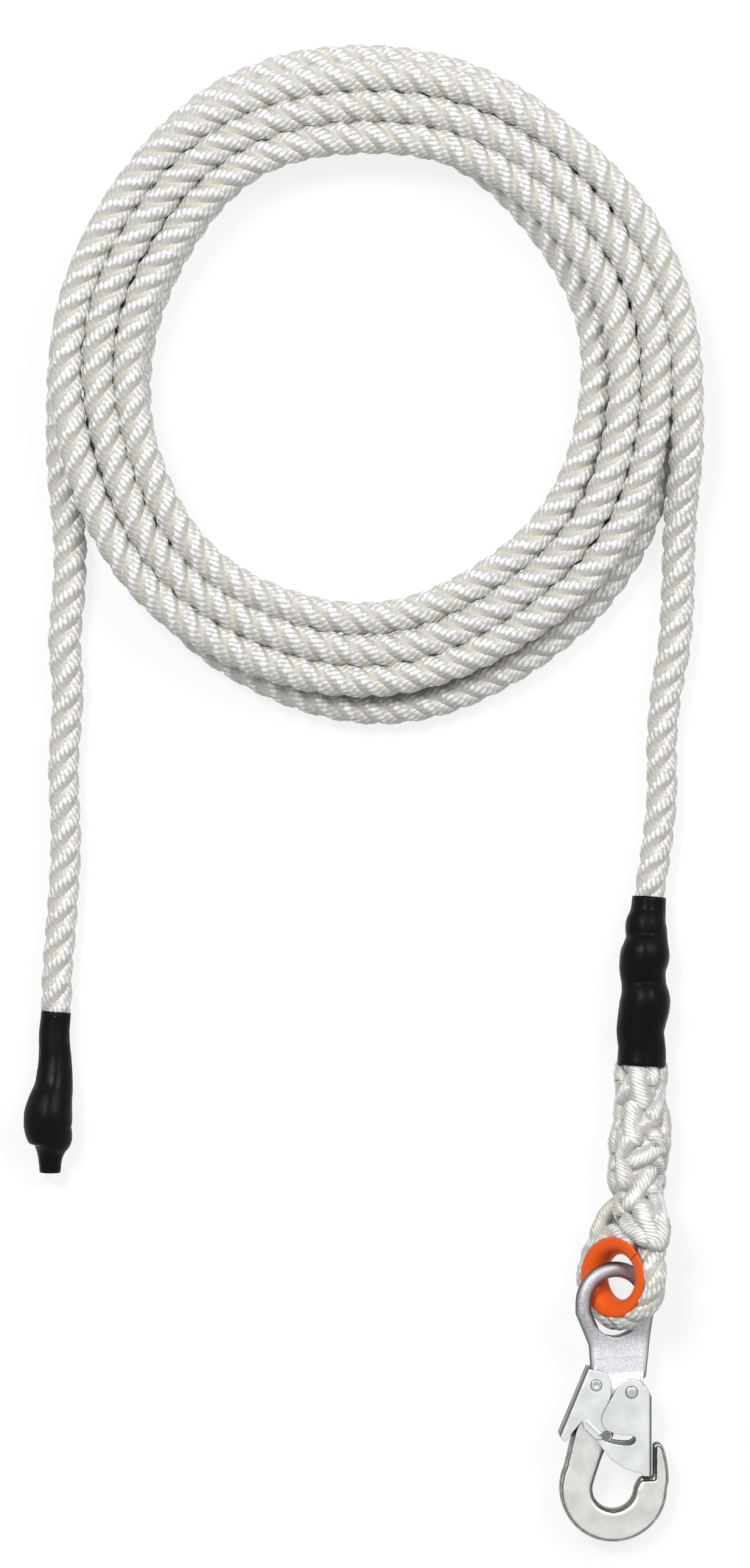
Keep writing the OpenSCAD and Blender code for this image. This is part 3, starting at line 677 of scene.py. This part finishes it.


def make_knot():
    """The rope's knotted end in its sleeve; only its cut face shows."""
    rows = smooth_line(sleeve_rows(STOPPER_ROWS), ROPE_STEP)
    rows = rows[lengths(rows) > KNOT_FROM]
    line, radii = rows[:, :3], rows[:, 3] - KNOT_UNDER
    side, rise = level_frames(line)
    a = TURN * np.arange(KNOT_SIDES) / KNOT_SIDES
    ring = np.cos(a)[:, None] * side[:, None] + np.sin(a)[:, None] * rise[:, None]
    verts = (line[:, None] + radii[:, None, None] * ring).reshape(-1, 3)
    lane = a / TURN
    faces, uv = skin(len(line), KNOT_SIDES, (lane, lane + 1 / KNOT_SIDES), lengths(line) * MM)
    verts, faces, uv = with_caps(verts, faces, uv, KNOT_SIDES)
    return mesh_object("stopper_knot", verts, faces, uv, np.full(len(verts), KNOT_DEPTH))


knot = make_knot()


# ---- hook ----

HOOK_AT = np.array([119.4, -238.8, 16.5]) + HOME
HOOK_PITCH, HOOK_ROLL = math.radians(5), math.radians(3)
HOOK_TURN = np.array(Matrix.Rotation(HOOK_PITCH, 3, "X") @ Matrix.Rotation(HOOK_ROLL, 3, "Y"))
GATE_AT, LEVER_AT = (6.7, -41.7), (-9.8, -38.5)  # their pins, in the hook's plane
GATE_OUT, LEVER_OUT = 8.5, 7.0  # how far their plates stand from that plane


def on_hook(points):
    """Points of the hook's own frame, in the part's."""
    return np.asarray(points, float) @ HOOK_TURN.T + HOOK_AT


def off_hook(points):
    """Points of the part's frame, in the hook's own."""
    return (np.asarray(points, float) - HOOK_AT) @ HOOK_TURN


def remeshed(name, node, voxel, rounds, shape):
    """A copy of a CAD node with fine even faces, its edges rounded; shape moves its points."""
    obj = placed(name, cad[node].data.copy())
    obj.data.materials.clear()
    modifier = obj.modifiers.new("remesh", "REMESH")
    modifier.mode = "VOXEL"
    modifier.voxel_size = voxel * MM
    modifier.use_smooth_shade = True
    soften = obj.modifiers.new("soften", "SMOOTH")
    soften.factor = 0.5
    soften.iterations = rounds
    depsgraph = bpy.context.evaluated_depsgraph_get()
    mesh = bpy.data.meshes.new_from_object(obj.evaluated_get(depsgraph))
    obj.modifiers.clear()
    obj.data = mesh
    mesh.name = name
    co, normals = np.empty((2, len(mesh.vertices) * 3))
    mesh.vertices.foreach_get("co", co)
    mesh.vertices.foreach_get("normal", normals)
    local = shape(off_hook(co.reshape(-1, 3) / MM), normals.reshape(-1, 3) @ HOOK_TURN)
    mesh.vertices.foreach_set("co", (on_hook(local) * MM).ravel())
    mesh.update()
    return obj


def rounded(over, above, radius):
    """Which points past a corner's centre stand out of its round, and what share they keep."""
    far = np.hypot(over, above)
    hit = (over > 0) & (above > 0) & (far > radius)
    return hit, (radius / np.maximum(far, radius))[hit]


def folded(points, edge, outward, half, radius):
    """Rounds the fold between two plates: edge is a point on the spine, outward its normal."""
    p = points.copy()
    outward = np.array(outward) / np.linalg.norm(outward)
    over = (p[:, :2] - edge) @ outward + radius
    above = np.abs(p[:, 2]) - (half - radius)
    hit, keep = rounded(over, above, radius)
    p[hit, :2] -= (over[hit] * (1 - keep))[:, None] * outward
    p[hit, 2] = np.sign(p[hit, 2]) * (half - radius + above[hit] * keep)
    return p


# A point on each fold's spine, where it faces, how far the plates stand, and how round it is
GATE_FOLD = (16.3, -60.0), (1, 0), GATE_OUT, 2.6
LEVER_FOLD = (-14, -30.6), (-31.6, 13.1), LEVER_OUT, 2.0
RIB = np.array([(-14.2, -55.6), (-8.2, -61.8)])  # pressed in the lever, below the gate's edge
RIB_WIDE, RIB_HIGH = 0.9, 0.5
RIB_SKIN = 0.3  # the outermost part of the plate, which the rib lifts


def gate_shape(p, _):
    return folded(p, *GATE_FOLD)


def lever_shape(p, _):
    p = folded(p, *LEVER_FOLD)
    way = RIB[1] - RIB[0]
    share = np.clip((p[:, :2] - RIB[0]) @ way / (way @ way), 0, 1)
    off = np.linalg.norm(p[:, :2] - RIB[0] - share[:, None] * way, axis=1)
    outer = np.abs(p[:, 2]) > LEVER_OUT - RIB_SKIN
    p[:, 2] += np.where(outer, np.sign(p[:, 2]) * RIB_HIGH * (1 - ease(off / RIB_WIDE)), 0)
    return p


HOOK_HALF = 5.5  # half of the forging's thickness
SHANK_FROM = -46.0  # the shank and the bowl lie below this
SHANK_AT, BOWL_AT = np.array([-1.4, -62.0]), np.array([-1.4, -88.1])
BOWL_REACH = 12.5  # what is nearer to the line between those two is the bowl's inside
EDGE_OUTER, EDGE_INNER = 2.2, 3.2  # how round the forging's edges are outside and in the bowl
RIM = 1.0  # points this near to the middle plane give the outline
NECK = (-42.0, -32.5, -26.0)  # the web fades into the shank, has its own thickness, and begins
WEB_TOP, WEB_LEAN, WEB_LEAST = 3.3, 0.22, 1.1  # its surface's height and slope, and least height


def level_neck(p):
    """Draws the web's surface on under the plates."""
    x, y, z = p.T
    even = passing(y, NECK[:2])
    top = np.maximum(WEB_TOP - WEB_LEAN * x, WEB_LEAST)
    low = -WEB_TOP - WEB_LEAN * x
    step = (y > NECK[0]) & (y < NECK[2])
    z = np.where(step & (z > top), top + (z - top) * (1 - even), z)
    z = np.where(step & (z < low), low + (z - low) * (1 - even), z)
    return np.stack([x, y, z], axis=1)


def forging_shape(p, normals):
    """Rounds the edges of the shank and bowl about the outline of their middle plane."""
    p = level_neck(p)
    low = p[:, 1] < SHANK_FROM
    rim = np.flatnonzero(low & (np.abs(p[:, 2]) < RIM))
    tree = KDTree(len(rim))
    for i in rim:
        tree.insert((*p[i, :2], 0), i)
    tree.balance()
    some = np.flatnonzero(low & (np.abs(p[:, 2]) > HOOK_HALF - EDGE_INNER))
    near = np.array([tree.find((*p[i, :2], 0))[1] for i in some])
    outward = unit(normals[near, :2])
    share = np.clip((p[near, 1] - BOWL_AT[1]) / (SHANK_AT[1] - BOWL_AT[1]), 0, 1)[:, None]
    off = p[near, :2] - BOWL_AT - share * (SHANK_AT - BOWL_AT)
    radius = np.where(np.linalg.norm(off, axis=1) < BOWL_REACH, EDGE_INNER, EDGE_OUTER)
    over = radius - ((p[near, :2] - p[some, :2]) * outward).sum(axis=1)
    above = np.abs(p[some, 2]) - (HOOK_HALF - radius)
    hit, keep = rounded(over, above, radius)
    some = some[hit]
    p[some, :2] -= (over[hit] * (1 - keep))[:, None] * outward[hit]
    p[some, 2] = np.sign(p[some, 2]) * (HOOK_HALF - radius[hit] + above[hit] * keep)
    return p


FORGED, STAMPED = (0.5, 5), (0.28, 2)  # size of the new faces, and rounds of smoothing

forging = remeshed("forging", "hook_body", *FORGED, forging_shape)
gate_sheet = remeshed("gate_sheet", "gate", *STAMPED, gate_shape)
lever_sheet = remeshed("lever_sheet", "lock_lever", *STAMPED, lever_shape)

PIN_SIDES, PIN_R = 48, 2.2  # a rivet's sides, and its shank's radius
DOME_STEPS, DOME_TIP = 8, 0.02  # rings of a rivet's head, and the first one's radius
DIMPLE_WIDE = 0.45  # the dished middle's share of the head


def turned(name, place, half_profile):
    """A round piece about an axis of the hook; the profile is (radius, height) and mirrored."""
    a = TURN * np.arange(PIN_SIDES) / PIN_SIDES
    x, y = place
    rings = [
        np.stack([x + r * np.cos(a), y + r * np.sin(a), np.full(PIN_SIDES, z)], -1)
        for r, z in half_profile + [(r, -z) for r, z in half_profile[::-1]]
    ]
    faces, uv = skin(len(rings), PIN_SIDES, (a, a), np.arange(len(rings)))
    verts, faces, _ = with_caps(np.vstack(rings), faces, uv, PIN_SIDES)
    return mesh_object(name, on_hook(verts), [f[::-1] for f in faces])


def dome(radius, base, rise, dimple=0.0):
    """Profile of a rivet's head above base, with an optional dished middle, and its shank."""
    top = []
    for i in range(DOME_STEPS + 1):
        t = i / DOME_STEPS * TURN / 4
        top.append((radius * math.sin(t), base + rise * math.cos(t)))
    wide = DIMPLE_WIDE * radius
    top = [(max(r, DOME_TIP), z - dimple * math.exp(-((r / wide) ** 2))) for r, z in top]
    return top + [(PIN_R, base), (PIN_R, 0)]


HEAD_CLEAR = 0.1  # between a rivet's head and the plate under it

gate_pin = turned("gate_pin", GATE_AT, dome(3.0, GATE_OUT + HEAD_CLEAR, 1.0))
lever_pin = turned("lever_pin", LEVER_AT, dome(2.8, LEVER_OUT + HEAD_CLEAR, 0.9, 0.9))


# ---- materials ----


def srgb(r, g, b):
    """A colour as a picture shows it, for a shader's socket."""

    def linear(c):
        return c / 12.92 if c <= 0.04045 else ((c + 0.055) / 1.055) ** 2.4

    return (linear(r), linear(g), linear(b), 1)


class Nodes:
    """A node tree with short ways to add to it."""

    def __init__(self, tree):
        self.tree = tree

    def add(self, kind, **settings):
        node = self.tree.nodes.new(kind)
        for key, value in settings.items():
            setattr(node, key, value)
        return node

    def plug(self, value, socket):
        if isinstance(value, bpy.types.NodeSocket):
            self.tree.links.new(value, socket)
        else:
            socket.default_value = value

    def math(self, operation, *values):
        node = self.add("ShaderNodeMath", operation=operation)
        for value, socket in zip(values, node.inputs):
            self.plug(value, socket)
        return node.outputs[0]

    def between(self, value, low, high, first=0.0, last=1.0):
        node = self.add("ShaderNodeMapRange", interpolation_type="SMOOTHSTEP")
        for v, key in zip((value, low, high, first, last), node.inputs):
            self.plug(v, key)
        return node.outputs[0]

    def mix(self, share, first, second):
        node = self.add("ShaderNodeMix", data_type="RGBA")
        self.plug(share, node.inputs["Factor"])
        self.plug(first, node.inputs[6])
        self.plug(second, node.inputs[7])
        return node.outputs[2]

    def noise(self, scale, vector=None, detail=3.0, roughness=0.55):
        node = self.add("ShaderNodeTexNoise")
        node.inputs["Scale"].default_value = scale
        node.inputs["Detail"].default_value = detail
        node.inputs["Roughness"].default_value = roughness
        if vector is None:
            vector = self.add("ShaderNodeTexCoord").outputs["Object"]
        self.plug(vector, node.inputs["Vector"])
        return node.outputs[0]

    def bump(self, height, distance, strength=1.0, below=None):
        node = self.add("ShaderNodeBump")
        node.inputs["Strength"].default_value = strength
        node.inputs["Distance"].default_value = distance
        self.plug(height, node.inputs["Height"])
        if below:
            self.plug(below, node.inputs["Normal"])
        return node.outputs[0]

    def blend(self, share, first, second, out):
        """Mixes two shaders into an output."""
        node = self.add("ShaderNodeMixShader")
        for value, socket in zip((share, first, second), node.inputs):
            self.plug(value, socket)
        self.plug(node.outputs[0], self.tree.nodes[out].inputs["Surface"])


class Paint(Nodes):
    """A material being made, with its main shader."""

    def __init__(self, name, roughness, **sockets):
        self.material = bpy.data.materials.new(name)
        self.material.use_nodes = True
        super().__init__(self.material.node_tree)
        self.shader = self.tree.nodes["Principled BSDF"]
        self.shader.inputs["Roughness"].default_value = roughness
        for key, value in sockets.items():
            self.shader.inputs[key.replace("_", " ")].default_value = value

    def painted_edge_reflection(self, low, high, edge, plane):
        """One colour for a surface of the hook that lies in its plane, and a painted reflection for
        an edge: a darker colour where the surface turns away from that plane.
        """
        normal = self.add("ShaderNodeTexCoord").outputs["Normal"]
        dot = self.add("ShaderNodeVectorMath", operation="DOT_PRODUCT")
        self.plug(normal, dot.inputs[0])
        self.plug(tuple(float(x) for x in HOOK_TURN[:, 2]), dot.inputs[1])
        facing = self.math("ABSOLUTE", dot.outputs["Value"])
        return self.mix(self.between(facing, low, high), edge, plane)

    def patchy(self, noise, least, most):
        """A roughness that follows a noise."""
        return self.between(noise, 0.3, 0.7, least, most)

    def finish(self, colour, roughness=None, normal=None):
        for value, key in ((colour, "Base Color"), (roughness, "Roughness"), (normal, "Normal")):
            if value is not None:
                self.plug(value, self.shader.inputs[key])
        return self.material


# How close the fibre's fine lines lie across and along a yarn, and how high next to its back
HAIR_ACROSS, HAIR_ALONG, HAIR_HIGH = 9.0, 500.0, 0.6
SWAY_ALONG, SWAY_HIGH = 330.0, 2.2  # the same for the rise and fall of whole yarns


def rope_material():
    """White crowns as a painted highlight, grey flanks, darker yarn seams and cream grooves as
    painted shade, with a gloss drawn out across the fibre.
    """
    p = Paint("laid_fibre", 0.36, Specular_IOR_Level=0.65, IOR=1.85, Anisotropic=0.75)
    across = p.add("ShaderNodeTangent", direction_type="UV_MAP", uv_map="strand")
    p.plug(across.outputs[0], p.shader.inputs["Tangent"])
    uv = p.add("ShaderNodeUVMap", uv_map="strand").outputs[0]
    split = p.add("ShaderNodeSeparateXYZ")
    p.plug(uv, split.inputs[0])
    u, v = split.outputs[0], split.outputs[1]
    inner = p.add("ShaderNodeAttribute", attribute_name="inner").outputs["Fac"]
    index = p.math("MULTIPLY", u, float(YARNS))
    ridge = p.math("ABSOLUTE", p.math("SINE", p.math("MULTIPLY", index, math.pi)))
    hair = p.add("ShaderNodeCombineXYZ")
    p.plug(p.math("MULTIPLY", index, HAIR_ACROSS), hair.inputs[0])
    p.plug(p.math("MULTIPLY", v, HAIR_ALONG), hair.inputs[1])
    strands = p.noise(1.0, hair.outputs[0], 2.0)
    lie = p.add("ShaderNodeCombineXYZ")
    p.plug(p.math("FLOOR", index), lie.inputs[0])
    p.plug(p.math("MULTIPLY", v, SWAY_ALONG), lie.inputs[1])
    sway = p.noise(1.0, lie.outputs[0], 1.0)
    height = p.math("ADD", p.math("POWER", ridge, 0.5), p.math("MULTIPLY", strands, HAIR_HIGH))
    height = p.math("ADD", height, p.math("MULTIPLY", sway, SWAY_HIGH))
    # painted shade and highlight: grey on the yarns' flanks, white on their crowns, mixed by depth
    flank_shade = p.mix(strands, srgb(0.66, 0.655, 0.64), srgb(0.78, 0.775, 0.76))
    crown_highlight = p.mix(strands, srgb(0.87, 0.865, 0.855), srgb(0.95, 0.95, 0.945))
    back = p.mix(p.between(inner, 0.02, 0.18), crown_highlight, flank_shade)
    # painted shade: darker in the valleys between the yarns
    seam_shade = p.between(ridge, 0.0, 0.55, 0.7, 0.0)
    back = p.mix(seam_shade, back, srgb(0.63, 0.625, 0.6))
    # painted shade: cream and duller in the grooves and where strands lie under others
    colour = p.mix(p.between(inner, 0.35, 0.8), back, srgb(0.80, 0.785, 0.73))
    return p.finish(colour, p.patchy(strands, 0.3, 0.42), p.bump(height, 0.00016, 0.75))


def sleeve_material():
    p = Paint("shrunk_plastic", 0.3, Specular_IOR_Level=0.07)
    cloud = p.noise(60.0)
    fine = p.noise(900.0)
    colour = p.mix(cloud, srgb(0.03, 0.031, 0.032), srgb(0.055, 0.057, 0.058))
    normal = p.bump(fine, 0.00004, 0.6, p.bump(cloud, 0.0005, 0.5))
    return p.finish(colour, p.patchy(cloud, 0.26, 0.42), normal)


def thimble_material():
    p = Paint("moulded_plastic", 0.42, Specular_IOR_Level=0.2)
    cloud = p.noise(70.0)
    fine = p.noise(1500.0)
    colour = p.mix(cloud, srgb(0.88, 0.33, 0.09), srgb(0.93, 0.38, 0.12))
    return p.finish(colour, p.patchy(cloud, 0.36, 0.5), p.bump(fine, 0.00003, 0.5))


RING_TO_NECK = (-25, -13)  # heights on the hook where the ring's darker tone, a painted reflection, goes over into the neck's, and where one finish goes over into the next
NECK_TO_SHANK = (-41, -31)


def hook_height(y):
    """Where a height on the hook lies along its length, in metres."""
    return float(np.dot(on_hook((0, y, 0)), HOOK_TURN[:, 1])) * MM


def forging_material():
    """Blasted and bright at the eye, its ring painted darker as a painted reflection, smoother and
    greyer down the leg and bowl; edges darkened as a painted reflection.
    """
    p = Paint("forged_metal", 0.4, Metallic=0.85)
    where = p.add("ShaderNodeTexCoord").outputs["Object"]
    along = p.add("ShaderNodeVectorMath", operation="DOT_PRODUCT")
    p.plug(where, along.inputs[0])
    p.plug(tuple(float(x) for x in HOOK_TURN[:, 1]), along.inputs[1])
    along = along.outputs["Value"]
    low = p.between(along, *(hook_height(y) for y in NECK_TO_SHANK), 1.0, 0.0)
    high = p.between(along, *(hook_height(y) for y in RING_TO_NECK))
    grain = p.noise(2600.0, where, 2.0)
    cloud = p.noise(90.0, where)
    grainy = p.between(grain, 0.35, 0.65)
    neck = p.mix(grainy, srgb(0.72, 0.72, 0.74), srgb(0.94, 0.94, 0.95))
    # painted reflection: the round ring is painted darker than the neck, for the dark surroundings
    # that it reflects
    ring = p.mix(grainy, srgb(0.55, 0.55, 0.57), srgb(0.75, 0.75, 0.77))
    # painted reflection: the blasted part's edges, turned away from the hook's plane, are painted
    # dark
    blasted_with_reflection = p.painted_edge_reflection(0.35, 0.95, srgb(0.34, 0.34, 0.36), p.mix(high, neck, ring))
    plated = p.mix(cloud, srgb(0.73, 0.74, 0.72), srgb(0.86, 0.87, 0.85))
    # painted reflection: the plated leg's and bowl's edges are painted dark
    plated = p.painted_edge_reflection(0.6, 0.99, srgb(0.43, 0.44, 0.41), plated)
    colour = p.mix(low, blasted_with_reflection, plated)
    depth = p.math("MULTIPLY", grain, p.between(low, 0.0, 1.0, 1.0, 0.2))
    return p.finish(colour, p.patchy(cloud, 0.34, 0.48), p.bump(depth, 0.00016, 0.9))


def sheet_material():
    p = Paint("plated_sheet", 0.3, Metallic=0.85)
    cloud = p.noise(110.0)
    fine = p.noise(1800.0)
    plate = p.mix(cloud, srgb(0.81, 0.82, 0.82), srgb(0.90, 0.91, 0.91))
    # painted reflection: the plates' edges, turned away from the hook's plane, are painted dark
    colour = p.painted_edge_reflection(0.66, 0.97, srgb(0.38, 0.39, 0.39), plate)
    return p.finish(colour, p.patchy(cloud, 0.26, 0.4), p.bump(fine, 0.00002, 0.6))


def rivet_material():
    p = Paint("rivet_metal", 0.3, Metallic=0.9)
    cloud = p.noise(900.0)
    head = p.mix(cloud, srgb(0.66, 0.67, 0.68), srgb(0.80, 0.81, 0.81))
    # painted reflection: the heads' rims, turned away from the hook's plane, are painted dark
    colour = p.painted_edge_reflection(0.72, 0.99, srgb(0.24, 0.25, 0.25), head)
    return p.finish(colour, p.patchy(cloud, 0.24, 0.4), p.bump(cloud, 0.00004, 0.6))


def spring_material():
    p = Paint("spring_wire", 0.25, Metallic=1.0)
    cloud = p.noise(700.0)
    return p.finish(p.mix(cloud, srgb(0.4, 0.41, 0.43), srgb(0.55, 0.56, 0.58)))


def dress(obj, material, body, slot, *replaced):
    """Gives a piece its material, its body and the CAD nodes that it stands for."""
    obj.data.materials.clear()
    obj.data.materials.append(material)
    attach(obj, body)
    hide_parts(*replaced)


fibre = rope_material()
black = sleeve_material()
rivet_metal = rivet_material()
spring_wire = spring_material()
sheet_metal = sheet_material()

dress(rope, fibre, "line", "rope", "rope_coil", "rope_tail_end", "rope_tail_hook")
dress(end_sleeve, black, "line", "sleeve", "end_sleeve")
dress(knot, fibre, "line", "rope", "end_knot")
dress(hook_sleeve, black, "line", "sleeve", "splice_sleeve")
for number, piece in enumerate(splice_pieces[:3], 1):
    dress(piece, fibre, "line", "rope", f"splice_strand_{number}")
dress(splice_pieces[3], fibre, "line", "rope", "splice_core")
dress(eye_rope, fibre, "line", "rope", "rope_eye")
dress(thimble, thimble_material(), "line", "thimble", "thimble")
dress(forging, forging_material(), "hook", "forging", "hook_body")
dress(gate_sheet, sheet_metal, "gate", "sheet", "gate")
dress(lever_sheet, sheet_metal, "lock_lever", "sheet", "lock_lever")
dress(gate_pin, rivet_metal, "hook", "rivet", "gate_rivet")
dress(lever_pin, rivet_metal, "hook", "rivet", "lever_rivet")

for name in ("lock_pins", "gate_spring", "lever_spring"):  # these show as they are
    cad[name].data.materials.clear()
    cad[name].data.materials.append(spring_wire)


# ---- floor, world and lamps ----

FLOOR_SHADE = 0.18  # how much of the object's shadow the white floor keeps
FLOOR_HALF = 6.0  # half of its size, in metres
WORLD_FILL = 0.3  # the world's light on the object; the background itself is at 1
# Where each lamp stands and how wide it is, in metres, and its power
LAMPS = {
    "key": ((-1.44, 1.76, 3.53), 1.25, 112),
    "fill": ((2.0, 1.8, 3.1), 1.4, 66),
}


def seen(p):
    """1 for a ray that shows the background: from the camera, a gloss or through glass."""
    rays = p.add("ShaderNodeLightPath").outputs
    seen_by = p.math("MAXIMUM", rays["Is Camera Ray"], rays["Is Glossy Ray"])
    return p.math("MAXIMUM", seen_by, rays["Is Transmission Ray"])


def make_floor():
    bm = bmesh.new()
    bmesh.ops.create_grid(bm, x_segments=4, y_segments=4, size=FLOOR_HALF)
    mesh = bpy.data.meshes.new("floor")
    bm.to_mesh(mesh)
    bm.free()
    floor = placed("floor", mesh)
    p = Paint("floor_white", 0.9, Base_Color=(0.97, 0.97, 0.97, 1), Specular_IOR_Level=0.0)
    white = p.add("ShaderNodeEmission")
    white.inputs["Strength"].default_value = 1.0
    share = p.math("MULTIPLY", seen(p), 1 - FLOOR_SHADE)
    p.blend(share, p.shader.outputs[0], white.outputs[0], "Material Output")
    mesh.materials.append(p.material)


def make_world():
    world = bpy.data.worlds.new("studio")
    bpy.context.scene.world = world
    world.use_nodes = True
    p = Nodes(world.node_tree)
    dull, bright = p.tree.nodes["Background"], p.add("ShaderNodeBackground")
    for light, strength in ((dull, WORLD_FILL), (bright, 1.0)):
        light.inputs["Color"].default_value = (1, 1, 1, 1)
        light.inputs["Strength"].default_value = strength
    p.blend(seen(p), dull.outputs[0], bright.outputs[0], "World Output")


def area_lamp(name, place, size, power):
    """A square lamp that looks at the middle of the part."""
    data = bpy.data.lights.new(name, "AREA")
    data.shape = "SQUARE"
    data.size = size
    data.energy = power
    lamp = placed(name, data)
    lamp.location = place
    lamp.rotation_euler = (-Vector(place)).to_track_quat("-Z", "Y").to_euler()


make_floor()
make_world()
for name, (place, size, power) in LAMPS.items():
    area_lamp(name, place, size, power)

bpy.context.scene.view_settings.view_transform = "Standard"
